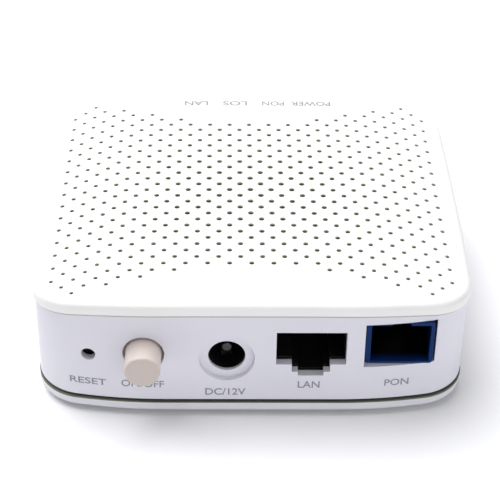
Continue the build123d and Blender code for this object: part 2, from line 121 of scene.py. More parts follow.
class TERMINAL_PrintSettings(bpy.types.PropertyGroup):
    film: length("Film", "Thickness of the printed ink", 0.02)
    port_ink: colour("Port ink", "Colour of the legends under the ports", "80808B")
    top_ink: colour("Top ink", "Colour of the light legends on the cover", "8E8A92")


class TERMINAL_ColourSettings(bpy.types.PropertyGroup):
    cover: colour("Cover", "Moulded white of the cover", "ECEBEA")
    wall: colour("Wall", "Cool white of the port wall", "DCDBE4")
    base: colour("Base", "White of the base tray", "DEDEE3")
    button: colour("Button", "Ivory of the push button", "DCCFC7")
    receptacle: colour("Receptacle", "Blue of the fibre receptacle", "083068")
    board: colour("Board", "Green of the solder mask", "14572F")


# ---------------------------------------------------------------- shapes

def crown(x):
    """Height of the top's surface, in millimetres, at this distance from the middle."""
    case = bpy.context.scene.terminal_case
    return TOP - case.crown_drop / MM * (abs(x) / HALF_WIDTH) ** case.crown_power


def quarter_arcs(inset):
    """The right front quarter of the plan shape as arcs, in millimetres from the case's middle: each one's centre,
    radius, first and last angle, from the end of the flat front to the middle of the side."""
    case = bpy.context.scene.terminal_case
    wide, deep = HALF_WIDTH - inset, HALF_DEPTH - inset
    flat, sweep = case.end_flat / MM, case.end_radius / MM - inset
    bow, radius = case.side_bow / MM, case.corner_radius / MM - inset
    corner_x = wide - bow
    corner_y = deep - sweep + math.sqrt(sweep**2 - (corner_x - flat) ** 2)
    side = (bow**2 + corner_y**2) / (2 * bow)
    end_centre, side_centre = Vector((flat, sweep - deep)), Vector((wide - side, 0))
    a, b = sweep - radius, side - radius
    gap = (side_centre - end_centre).length
    along = (a * a - b * b + gap * gap) / (2 * gap)
    across = math.sqrt(a * a - along * along)
    line = (side_centre - end_centre) / gap
    centre = max((end_centre + line * along + Vector((line.y, -line.x)) * across * s for s in (-1, 1)),
                 key=lambda c: c.x - c.y)
    first, second = (math.atan2(*reversed(centre - c)) for c in (end_centre, side_centre))
    return [(end_centre, sweep, -math.pi / 2, first), (centre, radius, first, second), (side_centre, side, second, 0)]


def outline(inset, steps=(6, 12, 14, 12)):
    """The case's plan shape in millimetres from its middle: flat ends swept back to bowed sides, anticlockwise."""
    wide, deep = HALF_WIDTH - inset, HALF_DEPTH - inset
    flat = bpy.context.scene.terminal_case.end_flat / MM
    quarter = [Vector((flat * i / steps[0], -deep)) for i in range(steps[0])]
    for (middle, size, first, last), count in zip(quarter_arcs(inset), steps[1:]):
        for i in range(count):
            t = first + (last - first) * i / count
            quarter.append(middle + size * Vector((math.cos(t), math.sin(t))))
    quarter.append(Vector((wide, 0)))
    half = quarter + [Vector((p.x, -p.y)) for p in reversed(quarter[:-1])]
    return half + [Vector((-p.x, p.y)) for p in reversed(half[1:-1])]


def outward(x, y):
    """The wall's outward direction at a point on its face, in millimetres from the case's middle."""
    at, way = Vector((abs(x), -abs(y))), Vector((0, -1))
    for middle, _, first, last in quarter_arcs(bpy.context.scene.terminal_case.wall_inset / MM):
        turn = math.atan2(*reversed(at - middle))
        if first <= turn <= last:
            way = (at - middle) / (at - middle).length
    return Vector((math.copysign(way.x, x), math.copysign(way.y, y), 0))


def true_normals(mesh):
    """Gives the wall's upright outer faces the normals of the exact curve that they stand on. On the port side, faces
    deeper than the sweep of its ends are the inside, and keep their own."""
    inset, sweep, port_side = bpy.context.scene.terminal_case.wall_inset / MM, 3.2, 33
    normals = [normal.vector.copy() for normal in mesh.corner_normals]
    for face in mesh.polygons:
        x, y = face.center.x / MM, face.center.y / MM - CASE_Y
        way = outward(x, y)
        near = abs(y + HALF_DEPTH - inset) < sweep if abs(x) < port_side and y < 0 else True
        if abs(face.normal.z) < 0.05 and face.normal.dot(way) > 0.985 and near:
            for corner in face.loop_indices:
                at = mesh.vertices[mesh.loops[corner].vertex_index].co
                normals[corner] = outward(at.x / MM, at.y / MM - CASE_Y)
    mesh.normals_split_custom_set(normals)


def wall_face(x):
    """How far in front of the case's middle the port wall's face stands at this x, in millimetres."""
    inset = bpy.context.scene.terminal_case.wall_inset / MM
    ring = [p for p in outline(inset, (6, 40, 40, 4)) if p.y < 0]
    ring.sort(key=lambda p: p.x)
    for p, q in zip(ring, ring[1:]):
        if p.x <= x <= q.x:
            return p.y + (q.y - p.y) * (x - p.x) / max(q.x - p.x, 1e-9)
    return ring[0].y


def new_piece(name, mesh, material, slot, body, *nodes):
    """Links a finished mesh as a piece that rides on a body and stands for CAD nodes."""
    piece = bpy.data.objects.new(name, mesh)
    bpy.context.collection.objects.link(piece)
    mesh.materials.clear()
    mesh.materials.append(material)
    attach(piece, body)
    if nodes:
        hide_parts(*nodes)
    return piece


def mesh_from(bm, name):
    """A mesh from a closed bmesh, its faces turned outwards and smooth."""
    bmesh.ops.recalc_face_normals(bm, faces=bm.faces)
    for face in bm.faces:
        face.smooth = True
    mesh = bpy.data.meshes.new(name)
    bm.to_mesh(mesh)
    bm.free()
    return mesh


def sharpen(mesh, degrees):
    """Marks the edges that turn by more than this as sharp."""
    bm = bmesh.new()
    bm.from_mesh(mesh)
    for edge in bm.edges:
        edge.smooth = not edge.is_manifold or edge.calc_face_angle(0) < math.radians(degrees)
    bm.to_mesh(mesh)
    bm.free()


def bake(piece):
    """The piece's mesh with its modifiers applied, taken from the evaluated object."""
    graph = bpy.context.evaluated_depsgraph_get()
    mesh = bpy.data.meshes.new_from_object(piece.evaluated_get(graph), preserve_all_data_layers=True, depsgraph=graph)
    bpy.data.objects.remove(piece)
    return mesh


def softened(node, edge, segments=2, turn=30, joined=None):
    """A copy of a CAD node's mesh, merged, with its flat faces whole and its sharp edges rounded. A second node that
    meets it on upright planes at either side is welded on, and the faces between the two go."""
    bm = bmesh.new()
    bm.from_mesh(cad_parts[node].data)
    bmesh.ops.remove_doubles(bm, verts=bm.verts, dist=2e-7)
    if joined:
        bm.from_mesh(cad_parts[joined].data)
        low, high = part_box(joined)
        inner = [f for f in bm.faces if f.calc_center_median().y < high.y + 1e-5 and
                 any(all(abs(v.co.x - at) < 2e-6 for v in f.verts) for at in (low.x, high.x))]
        bmesh.ops.delete(bm, geom=inner, context="FACES")
        bmesh.ops.remove_doubles(bm, verts=bm.verts, dist=5e-6)
    bmesh.ops.dissolve_limit(bm, angle_limit=math.radians(0.2), verts=bm.verts, edges=bm.edges)
    for face in bm.faces:
        face.smooth = True
    mesh = bpy.data.meshes.new(node)
    bm.to_mesh(mesh)
    bm.free()
    piece = bpy.data.objects.new(node + "_shape", mesh)
    bpy.context.collection.objects.link(piece)
    if edge:
        bevel = piece.modifiers.new("edge", "BEVEL")
        bevel.width = edge * MM
        bevel.segments = segments
        bevel.limit_method = "ANGLE"
        bevel.angle_limit = math.radians(turn)
        bevel.use_clamp_overlap = True
        bevel.harden_normals = True
    weighted = piece.modifiers.new("normals", "WEIGHTED_NORMAL")
    weighted.keep_sharp = True
    bpy.context.view_layer.update()
    return bake(piece)


def soft_piece(name, node, material, slot, body, edge=0.1, segments=2, turn=30):
    """A piece that stands for one CAD node, with moulded or folded edges in place of sharp ones."""
    mesh = softened(node, edge, segments, turn)
    mesh.name = name
    return new_piece(name, mesh, material, slot, body, node)


def finish_node(node, material):
    """Gives a CAD node that shows as it is its material."""
    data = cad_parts[node].data
    data.materials.clear()
    data.materials.append(material)


# ---------------------------------------------------------------- materials

def add_node(tree, kind, inputs=None, **settings):
    """Adds a node, with its settings, and its inputs as values or as links from other nodes' sockets."""
    made = tree.nodes.new(kind)
    for key, value in settings.items():
        setattr(made, key, value)
    for key, value in (inputs or {}).items():
        if isinstance(value, bpy.types.NodeSocket):
            tree.links.new(value, made.inputs[key])
        else:
            made.inputs[key].default_value = value
    return made


def shaded(tree, principled, base, factor, code):
    """Turns a material's colour towards another one by a factor."""
    mix = add_node(tree, "ShaderNodeMix", {"Factor": factor, 6: base.outputs[2], 7: (*hex_colour(code), 1)},
                   data_type="RGBA")
    tree.links.new(mix.outputs[2], principled.inputs["Base Color"])


def new_material(name, **shader):
    """A material, its node tree and its Principled shader with these inputs."""
    material = bpy.data.materials.new(name)
    material.use_nodes = True
    tree = material.node_tree
    principled = tree.nodes["Principled BSDF"]
    for key, value in shader.items():
        socket = principled.inputs[key.replace("_", " ")]
        socket.default_value = (*value, 1) if socket.type == "RGBA" else value
    place = add_node(tree, "ShaderNodeTexCoord").outputs["Object"]
    return material, tree, principled, place


def per_mm(size):
    """A texture scale whose cells are this many millimetres across."""
    return 1 / (size * MM)


def tinted(tree, principled, place, base, shade, size, strength=1.0):
    """Clouds a colour towards a second one, in patches of this many millimetres."""
    cloud = add_node(tree, "ShaderNodeTexNoise", {"Vector": place, "Scale": per_mm(size), "Detail": 3.0})
    ramp = add_node(tree, "ShaderNodeMapRange", {"Value": cloud.outputs["Fac"], "From Min": 0.35, "From Max": 0.65,
                                                 "To Max": strength})
    mix = add_node(tree, "ShaderNodeMix", {"Factor": ramp.outputs["Result"], 6: (*base, 1), 7: (*shade, 1)},
                   data_type="RGBA")
    tree.links.new(mix.outputs[2], principled.inputs["Base Color"])
    return mix


def grained(tree, principled, place, size, height, low, high, detail=2.0, stretch=(1, 1, 1)):
    """A surface grain of this size and height in millimetres, whose roughness runs from low to high."""
    turned = add_node(tree, "ShaderNodeMapping", {"Vector": place, "Scale": stretch})
    grain = add_node(tree, "ShaderNodeTexNoise", {"Vector": turned.outputs[0], "Scale": per_mm(size), "Detail": detail})
    bump = add_node(tree, "ShaderNodeBump", {"Height": grain.outputs["Fac"], "Distance": height * MM, "Strength": 1.0})
    tree.links.new(bump.outputs[0], principled.inputs["Normal"])
    if high > low:
        gloss = add_node(tree, "ShaderNodeMapRange", {"Value": grain.outputs["Fac"], "From Min": 0.3, "From Max": 0.7,
                                                      "To Min": low, "To Max": high})
        tree.links.new(gloss.outputs["Result"], principled.inputs["Roughness"])


def darker(tone, share):
    return tuple(t * share for t in tone)


def moulded_abs(name, tone, grain=0.35, height=0.006, low=0.38, high=0.5, marked=None):
    """Injection-moulded ABS from a spark-textured tool: a fine even grain that keeps highlights broad and soft, and
    a barely seen drift in tone where the melt flowed. The cover's holes are painted olive-grey inside as painted
    shade, and so are the wall's top edge, as a painted shadow in the step under the cover, and the base's rim at the
    seam."""
    material, tree, principled, place = new_material(name, IOR=1.53, Specular_IOR_Level=0.45)
    base = tinted(tree, principled, place, tone, darker(tone, 0.965), 22.0)
    if marked:
        case = bpy.context.scene.terminal_case
        apart = add_node(tree, "ShaderNodeSeparateXYZ", {0: place})
        at = dict(zip("xyz", apart.outputs))
        sums = [("|x|", "ABSOLUTE", "x"), ("share", "DIVIDE", "|x|", HALF_WIDTH * MM)]
        # how far below the crown a point lies, or below the base's rim and the thickness of its painted dark line of
        # shade
        if marked == "seam":
            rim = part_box("wall_frame")[0].z - SEAM_GAP * MM
            sums += [("bend", "POWER", "share", 4.0), ("thick", "MULTIPLY_ADD", "bend", 0.3 * MM, 0.15 * MM),
                     ("drop", "SUBTRACT", rim, "z"), ("depth", "SUBTRACT", "drop", "thick")]
        else:
            sums += [("bend", "POWER", "share", case.crown_power), ("fall", "MULTIPLY", "bend", case.crown_drop),
                     ("crown", "SUBTRACT", TOP * MM, "fall"), ("depth", "SUBTRACT", "crown", "z")]
        # the vent field, whose holes get the painted shade, clear of the cover's sides, ends and corners
        if marked == "holes":
            sums += [("from middle", "SUBTRACT", "y", CASE_Y * MM), ("|y|", "ABSOLUTE", "from middle"),
                     ("slant", "ADD", "|x|", "|y|"), ("sides", "LESS_THAN", "|x|", (HALF_WIDTH - 2.5) * MM),
                     ("ends", "LESS_THAN", "|y|", (HALF_DEPTH - 2.5) * MM),
                     ("corners", "LESS_THAN", "slant", (HALF_WIDTH + HALF_DEPTH - 11) * MM),
                     ("band", "MULTIPLY", "sides", "ends"), ("field", "MULTIPLY", "band", "corners")]
        for result, operation, *values in sums:
            at[result] = add_node(tree, "ShaderNodeMath", {i: at.get(v, v) for i, v in enumerate(values)},
                                  operation=operation).outputs[0]
        # painted shade: olive-grey inside the holes, a painted shadow on the wall under the cover's step, and a dark
        # painted line of shade on the base's rim at the seam
        foot = case.cover_band / MM + 0.62
        first, last, least, most, code = {"holes": (0.05, 0.22, 0.0, 1.0, "B9C2A0"),
                                          "step": (foot, foot - 0.2, 0.0, 0.85, "96987F"),
                                          "seam": (0.0, 0.1, 0.92, 0.0, "4D5238")}[marked]
        line = add_node(tree, "ShaderNodeMapRange", {"Value": at["depth"], "From Min": first * MM,
                                                     "From Max": last * MM, "To Min": least, "To Max": most})
        if marked == "holes":
            line = add_node(tree, "ShaderNodeMath", {0: line.outputs[0], 1: at["field"]}, operation="MULTIPLY")
        shaded(tree, principled, base, line.outputs[0], code)
    grained(tree, principled, place, grain, height, low, high)
    return material


def polished_abs(name, tone, tip):
    """ABS moulded in a polished tool, as on push buttons: smoother, with a trace of light carried under the skin, and
    painted darker at its tip, a painted shade for the end that faces away from the light."""
    material, tree, principled, place = new_material(name, IOR=1.53, Subsurface_Weight=0.08, Subsurface_Scale=0.001,
                                                     Subsurface_Radius=(1.0, 0.8, 0.6))
    base = tinted(tree, principled, place, tone, darker(tone, 0.95), 3.0)
    apart = add_node(tree, "ShaderNodeSeparateXYZ", {0: place})
    # painted shade: the colour turns darker towards the tip
    painted_tip_shade = add_node(tree, "ShaderNodeMapRange", {"Value": apart.outputs["Y"], "From Min": tip + 0.05 * MM,
                                                 "From Max": tip + 0.5 * MM, "To Min": 1.0, "To Max": 0.0})
    shaded(tree, principled, base, painted_tip_shade.outputs["Result"], "C2B6AF")
    grained(tree, principled, place, 0.5, 0.003, 0.30, 0.38)
    return material


def glass_filled_pbt(name, code):
    """Glass-filled PBT, as connector bodies are moulded: dull, with faint flow lines and pale fibre flecks."""
    tone = hex_colour(code)
    material, tree, principled, place = new_material(name, IOR=1.55)
    fleck = add_node(tree, "ShaderNodeTexVoronoi", {"Vector": place, "Scale": per_mm(0.5)})
    near = add_node(tree, "ShaderNodeMapRange", {"Value": fleck.outputs["Distance"], "From Min": 0.05, "From Max": 0.2,
                                                 "To Min": 1.0, "To Max": 0.0})
    pale = tuple(min(1, t * 1.5 + 0.004) for t in tone)
    mix = add_node(tree, "ShaderNodeMix", {"Factor": near.outputs["Result"], 6: (*tone, 1), 7: (*pale, 1)},
                   data_type="RGBA")
    tree.links.new(mix.outputs[2], principled.inputs["Base Color"])
    grained(tree, principled, place, 0.4, 0.006, 0.42, 0.62, stretch=(1, 0.3, 1))
    return material


def blue_pbt_with_painted_throat_shade(name, tone, front):
    """Blue PBT round the receptacle's mouth, painted near-black behind its lip as painted shade in the throat."""
    material, tree, principled, place = new_material(name, IOR=1.55, Specular_IOR_Level=0.1)
    base = tinted(tree, principled, place, tone, darker(tone, 0.8), 3.0)
    apart = add_node(tree, "ShaderNodeSeparateXYZ", {0: place})
    # painted shade: the blue turns near-black deeper into the throat
    deep = add_node(tree, "ShaderNodeMapRange", {"Value": apart.outputs["Y"], "From Min": front + 0.4 * MM,
                                                 "From Max": front + 2.2 * MM})
    shaded(tree, principled, base, deep.outputs["Result"], "04050B")
    grained(tree, principled, place, 0.3, 0.004, 0.36, 0.5)
    return material


def plated_steel(name, code, roughness, streak=(1, 1, 1), size=0.3):
    """Plated sheet or turned steel: a bright metal whose plating varies in gloss along the way it was rolled."""
    material, tree, principled, place = new_material(name, Metallic=1.0)
    tone = hex_colour(code)
    tinted(tree, principled, place, tone, darker(tone, 0.85), 2.5)
    grained(tree, principled, place, size, 0.003, roughness, roughness + 0.14, stretch=streak)
    return material


def solder_mask_board(name, tone):
    """FR-4 board under green solder mask: copper tracks read as a lighter, raised maze, with glass weave beneath."""
    material, tree, principled, place = new_material(name, IOR=1.52, Coat_Weight=0.35, Coat_Roughness=0.2)
    copper = tuple(min(1, t * 2.1 + 0.01) for t in tone)
    tracks = add_node(tree, "ShaderNodeTexBrick", {"Vector": place, "Scale": per_mm(2.4), "Mortar Size": 0.09,
                                                   "Mortar Smooth": 0.0, "Brick Width": 1.9, "Row Height": 0.36,
                                                   "Color1": (*tone, 1), "Color2": (*darker(tone, 0.8), 1),
                                                   "Mortar": (*copper, 1)},
                      offset=0.37, offset_frequency=3, squash=0.6, squash_frequency=5)
    tree.links.new(tracks.outputs["Color"], principled.inputs["Base Color"])
    weave = add_node(tree, "ShaderNodeTexChecker", {"Vector": place, "Scale": per_mm(0.9)})
    threads = weave.outputs["Fac"]
    height = add_node(tree, "ShaderNodeMath", {0: tracks.outputs["Fac"], 1: threads, 2: threads},
                      operation="MULTIPLY_ADD")
    bump = add_node(tree, "ShaderNodeBump", {"Height": height.outputs[0], "Distance": 0.01 * MM})
    tree.links.new(bump.outputs[0], principled.inputs["Normal"])
    principled.inputs["Roughness"].default_value = 0.42
    return material


def epoxy_compound(name, code="17181B"):
    """Epoxy moulding compound on chips: matt charcoal with a fine sandy skin."""
    material, tree, principled, place = new_material(name, IOR=1.55)
    tone = hex_colour(code)
    tinted(tree, principled, place, tone, darker(tone, 1.5), 0.4)
    grained(tree, principled, place, 0.12, 0.004, 0.5, 0.7)
    return material


def anodised_aluminium(name, code="B9BCC0"):
    """Extruded, clear-anodised aluminium: fine lines along the fins and a soft metallic sheen."""
    material, tree, principled, place = new_material(name, Metallic=1.0)
    tone = hex_colour(code)
    tinted(tree, principled, place, tone, darker(tone, 0.9), 4.0)
    grained(tree, principled, place, 0.12, 0.004, 0.34, 0.5, stretch=(1, 0.04, 1))
    return material


def silicone(name, code, grain=0.3):
    """Moulded silicone rubber: matt and slightly mottled, with dust caught in its skin."""
    material, tree, principled, place = new_material(name, IOR=1.43)
    tone = hex_colour(code)
    tinted(tree, principled, place, tone, tuple(min(1, t * 1.12) for t in tone), 1.2)
    grained(tree, principled, place, grain, 0.012, 0.72, 0.9)
    return material


def fired_ceramic(name, code, low, high):
    """Sintered ceramic: even and hard, from the polished zirconia of a sleeve to the matt body of a capacitor."""
    material, tree, principled, place = new_material(name, IOR=2.1 if low < 0.2 else 1.7)
    tone = hex_colour(code)
    tinted(tree, principled, place, tone, darker(tone, 0.92), 0.8)
    grained(tree, principled, place, 0.1, 0.001, low, high)
    return material


def clear_polycarbonate(name):
    """Clear moulded polycarbonate: it passes light down the pipe, with a frosted face where the light comes out."""
    material, tree, principled, place = new_material(name, Base_Color=hex_colour("F2F6F6"), IOR=1.58,
                                                     Transmission_Weight=0.8)
    grained(tree, principled, place, 0.3, 0.004, 0.22, 0.36)
    return material


def led_package(name):
    """White surface-mount LED package with its dab of pale yellow phosphor resin."""
    material, tree, principled, place = new_material(name, IOR=1.5)
    tinted(tree, principled, place, hex_colour("F3F1E4"), hex_colour("E4D98C"), 0.7)
    grained(tree, principled, place, 0.2, 0.003, 0.25, 0.4)
    return material


def polyester_label(name):
    """Printable polyester label stock: satin white film with a soft fibrous tooth and a trace of silver."""
    material, tree, principled, place = new_material(name, IOR=1.5, Metallic=0.1)
    tone = hex_colour("EDEDEA")
    tinted(tree, principled, place, tone, darker(tone, 0.94), 6.0)
    grained(tree, principled, place, 0.25, 0.004, 0.42, 0.56, stretch=(1, 0.4, 1))
    return material


def printing_ink(name, tone):
    """Pad-printed ink: a thin even film, with the pinholes and soft density a silicone pad leaves."""
    material, tree, principled, place = new_material(name, IOR=1.5)
    tinted(tree, principled, place, tone, tuple(min(1, t * 1.25) for t in tone), 0.5)
    grained(tree, principled, place, 0.2, 0.003, 0.45, 0.6)
    return material


def sleeved_can(name):
    """Aluminium capacitor can in a heat-shrunk PVC sleeve: dark, glossy, and wrinkled near its ends."""
    material, tree, principled, place = new_material(name, IOR=1.54)
    sleeve, metal, sleeve_top = hex_colour("1E2433"), hex_colour("B8BBBF"), 17.55
    apart = add_node(tree, "ShaderNodeSeparateXYZ", {0: place})
    top = add_node(tree, "ShaderNodeMapRange", {"Value": apart.outputs["Z"], "From Min": sleeve_top * MM,
                                                "From Max": (sleeve_top + 0.1) * MM})
    mix = add_node(tree, "ShaderNodeMix", {"Factor": top.outputs["Result"], 6: (*sleeve, 1), 7: (*metal, 1)},
                   data_type="RGBA")
    tree.links.new(mix.outputs[2], principled.inputs["Base Color"])
    tree.links.new(top.outputs["Result"], principled.inputs["Metallic"])
    grained(tree, principled, place, 0.8, 0.02, 0.24, 0.36, stretch=(1, 1, 0.3))
    return material


# ---------------------------------------------------------------- operators

class TERMINAL_OT_stage(bpy.types.Operator):
    """Sets the pale floor, the soft studio lights and the camera"""
    bl_idname = "terminal.stage"
    bl_label = "Stage"

    def execute(self, context):
        bm = bmesh.new()
        # a hair below the feet, so that the two don't share a plane
        bmesh.ops.create_grid(bm, x_segments=1, y_segments=1, size=3.0, matrix=Matrix.Translation((0, 0, -0.02 * MM)))
        floor = bpy.data.objects.new("studio_floor", mesh_from(bm, "studio_floor"))
        context.collection.objects.link(floor)
        material, tree, principled, place = new_material("matt_painted_floor", Roughness=0.9)
        tinted(tree, principled, place, hex_colour("FAFAFB"), hex_colour("F6F6F7"), 400.0)
        floor.data.materials.append(material)
        world = bpy.data.worlds.new("studio_air")
        world.use_nodes = True
        world.node_tree.nodes["Background"].inputs["Color"].default_value = (0.93, 0.94, 1.0, 1)
        world.node_tree.nodes["Background"].inputs["Strength"].default_value = 0.30
        context.scene.world = world
        for name, place, size, power in LIGHTS:
            light = bpy.data.lights.new(name, "AREA")
            light.size, light.energy = size, power
            lamp = bpy.data.objects.new(name, light)
            context.collection.objects.link(lamp)
            lamp.location = place
            lamp.rotation_euler = (-Vector(place)).to_track_quat("-Z", "Y").to_euler()
        lens = bpy.data.cameras.new("camera")
        lens.lens, lens.sensor_width = CAMERA_LENS, 36.0
        lens.clip_start, lens.clip_end = 0.01, 20.0
        camera = bpy.data.objects.new("camera", lens)
        context.collection.objects.link(camera)
        camera.location = (Vector(CAMERA_AT) + Vector((0, CASE_Y, 0))) * MM
        turn = Euler((math.radians(90 - CAMERA_DOWN), 0, math.radians(CAMERA_TURN))).to_matrix()
        camera.rotation_euler = (turn @ Matrix.Rotation(math.radians(CAMERA_ROLL), 3, "Z")).to_euler()
        context.scene.camera = camera
        context.scene.view_settings.view_transform = "Standard"
        return {"FINISHED"}


class TERMINAL_OT_cover(bpy.types.Operator):
    """Builds the crowned cover and drills its lattice of vent holes"""
    bl_idname = "terminal.cover"
    bl_label = "Vented cover"

    def lid(self, case):
        """The cover before its holes: rings from the edge of the band up and over to the middle, and back below."""
        band, crest, plate = case.cover_band / MM, case.crest_radius / MM, case.cover_plate / MM
        lip, lip_in, lip_wide = case.cover_lip / MM, case.lip_inset / MM, case.lip_width / MM
        soft = case.edge / MM
        rings = [(soft, band), (soft * 0.3, band - soft * 0.3), (0, band - soft), (0, band * 0.7), (0, crest * 1.3)]
        rings += [(crest * (1 - math.cos(t)), crest * (1 - math.sin(t)))
                  for t in (math.pi / 2 * i / 8 for i in range(9))]
        bm = bmesh.new()
        loops = []
        for inset, drop in rings:
            loops.append([bm.verts.new((p.x, p.y, crown(p.x) - drop)) for p in outline(inset)])
        edge = outline(crest)
        shares = [0.985 * (1 - 0.5 * (1 - math.cos(math.pi * i / 52))) for i in range(1, 26)]
        for share in shares:
            loops.append([bm.verts.new((p.x * share, p.y * share, crown(p.x * share))) for p in edge])
        under = [(lip_in + lip_wide, plate), (lip_in + lip_wide, (plate + lip) / 2), (lip_in + lip_wide, lip),
                 (lip_in, lip), (lip_in, band), (lip_in * 0.5, band)]
        inner = [[bm.verts.new((p.x, p.y, crown(p.x) - drop)) for p in outline(inset)] for inset, drop in under]
        edge = outline(lip_in + lip_wide)
        below = []
        for share in [s / shares[0] * 0.97 for s in shares]:
            below.append([bm.verts.new((p.x * share, p.y * share, crown(p.x * share) - plate)) for p in edge])
        middle_top = bm.verts.new((0, 0, crown(0)))
        middle_low = bm.verts.new((0, 0, crown(0) - plate))
        chain = list(reversed(below)) + inner + loops
        for a, b in zip(chain, chain[1:]):
            for i in range(len(a)):
                j = (i + 1) % len(a)
                bm.faces.new((a[i], a[j], b[j], b[i]))
        for ring, middle in ((chain[0], middle_low), (chain[-1], middle_top)):
            for i in range(len(ring)):
                bm.faces.new((ring[i], ring[(i + 1) % len(ring)], middle))
        for vert in bm.verts:
            vert.co = Vector((vert.co.x, vert.co.y + CASE_Y, vert.co.z)) * MM
        return mesh_from(bm, "cover_lid")

    def drill(self):
        """A node tree that takes a hole out of the lid at each place of the diagonal lattice."""
        tree = bpy.data.node_groups.new("vent_perforations", "GeometryNodeTree")
        tree.interface.new_socket("Geometry", in_out="INPUT", socket_type="NodeSocketGeometry")
        for name in ("Half pitch", "Widest hole", "Shrink", "Reach", "Rim", "Relief", "Crown drop", "Crown power",
                     "Half width", "Middle Y", "Top"):
            tree.interface.new_socket(name, in_out="INPUT", socket_type="NodeSocketFloat")
        for name in ("Columns", "Rows", "Full rows", "Corner reach", "Hole sides"):
            tree.interface.new_socket(name, in_out="INPUT", socket_type="NodeSocketInt")
        tree.interface.new_socket("Plastic", in_out="INPUT", socket_type="NodeSocketMaterial")
        tree.interface.new_socket("Geometry", in_out="OUTPUT", socket_type="NodeSocketGeometry")
        at = {socket.name: socket for socket in add_node(tree, "NodeGroupInput").outputs}
        apart = add_node(tree, "ShaderNodeSeparateXYZ", {0: add_node(tree, "GeometryNodeInputPosition").outputs[0]})
        at.update(zip("xyz", apart.outputs))
        # the punch's rings lie this far apart in millimetres, the fourth flush with the top, and the lowest goes deeper
        apart_by, deeper = 0.16, 2.3
        for name, operation, *values in [
                # the grid's size
                ("pitch", "MULTIPLY", "Half pitch", 2.0), ("across", "MULTIPLY", "Columns", "pitch"),
                ("along", "MULTIPLY", "Rows", "pitch"), ("columns", "MULTIPLY_ADD", "Columns", 2.0, 1.0),
                ("rows", "MULTIPLY_ADD", "Rows", 2.0, 1.0),
                # every second place, inside a diamond that is cut by fans at its corners
                ("|x|", "ABSOLUTE", "x"), ("|y|", "ABSOLUTE", "y"), ("column at", "DIVIDE", "|x|", "Half pitch"),
                ("row at", "DIVIDE", "|y|", "Half pitch"), ("column", "ROUND", "column at"),
                ("row", "ROUND", "row at"), ("together", "ADD", "column", "row"), ("odd", "MODULO", "together", 2.0),
                ("even", "LESS_THAN", "odd", 0.5), ("corner", "ADD", "Corner reach", 0.5),
                ("inside", "LESS_THAN", "together", "corner"), ("last full", "ADD", "Full rows", 0.5),
                ("full", "LESS_THAN", "row", "last full"), ("three rows", "MULTIPLY", "row", 3.0),
                ("slant", "SUBTRACT", "three rows", "column"), ("fan", "LESS_THAN", "slant", "corner"),
                ("lattice", "MULTIPLY", "even", "inside"), ("either", "MAXIMUM", "full", "fan"),
                ("chosen", "MULTIPLY", "lattice", "either"),
                # each hole's width, and its height on the crown
                ("y squared", "MULTIPLY", "y", "y"), ("squared", "MULTIPLY_ADD", "x", "x", "y squared"),
                ("distance", "SQRT", "squared"), ("far", "DIVIDE", "distance", "Reach"),
                ("share", "MINIMUM", "far", 1.0), ("less", "MULTIPLY", "Shrink", "share"),
                ("wide", "SUBTRACT", "Widest hole", "less"), ("side", "DIVIDE", "|x|", "Half width"),
                ("bend", "POWER", "side", "Crown power"), ("fall", "MULTIPLY", "Crown drop", "bend"),
                ("height", "SUBTRACT", "Top", "fall"), ("case y", "ADD", "y", "Middle Y"),
                # the punch: six rings, flared at the top and relieved at the bottom
                ("level", "ADD", "z", 2.5), ("ring", "ROUND", "level"), ("above", "SUBTRACT", "ring", 3.0),
                ("upper", "MAXIMUM", "above", 0.0), ("flare", "POWER", "upper", 2.0),
                ("lower", "LESS_THAN", "ring", 1.5), ("below", "MULTIPLY", "lower", "Relief"),
                ("mouth", "MULTIPLY_ADD", "flare", "Rim", 1.0), ("spread", "ADD", "mouth", "below"),
                ("stacked", "MULTIPLY_ADD", "ring", apart_by, -4 * apart_by),
                ("lowest", "LESS_THAN", "ring", 0.5), ("through", "MULTIPLY", "lowest", deeper),
                ("punch z", "SUBTRACT", "stacked", "through"),
                ("punch x", "MULTIPLY", "x", "spread"), ("punch y", "MULTIPLY", "y", "spread")]:
            at[name] = add_node(tree, "ShaderNodeMath", {i: at.get(v, v) for i, v in enumerate(values)},
                                operation=operation).outputs[0]
        grid = add_node(tree, "GeometryNodeMeshGrid", {"Size X": at["across"], "Size Y": at["along"],
                                                       "Vertices X": at["columns"], "Vertices Y": at["rows"]})
        lift = add_node(tree, "ShaderNodeCombineXYZ", {"X": at["x"], "Y": at["case y"], "Z": at["height"]})
        size = add_node(tree, "ShaderNodeCombineXYZ", {"X": at["wide"], "Y": at["wide"], "Z": MM})
        shown = add_node(tree, "FunctionNodeCompare", {0: at["chosen"], 1: 0.5}, data_type="FLOAT",
                         operation="GREATER_THAN")
        shank = add_node(tree, "GeometryNodeMeshCylinder", {"Vertices": at["Hole sides"], "Side Segments": 5,
                                                            "Radius": 0.5, "Depth": 5.0})
        shape = add_node(tree, "ShaderNodeCombineXYZ", {"X": at["punch x"], "Y": at["punch y"], "Z": at["punch z"]})
        punch = add_node(tree, "GeometryNodeSetPosition", {"Geometry": shank.outputs["Mesh"],
                                                           "Position": shape.outputs[0]})
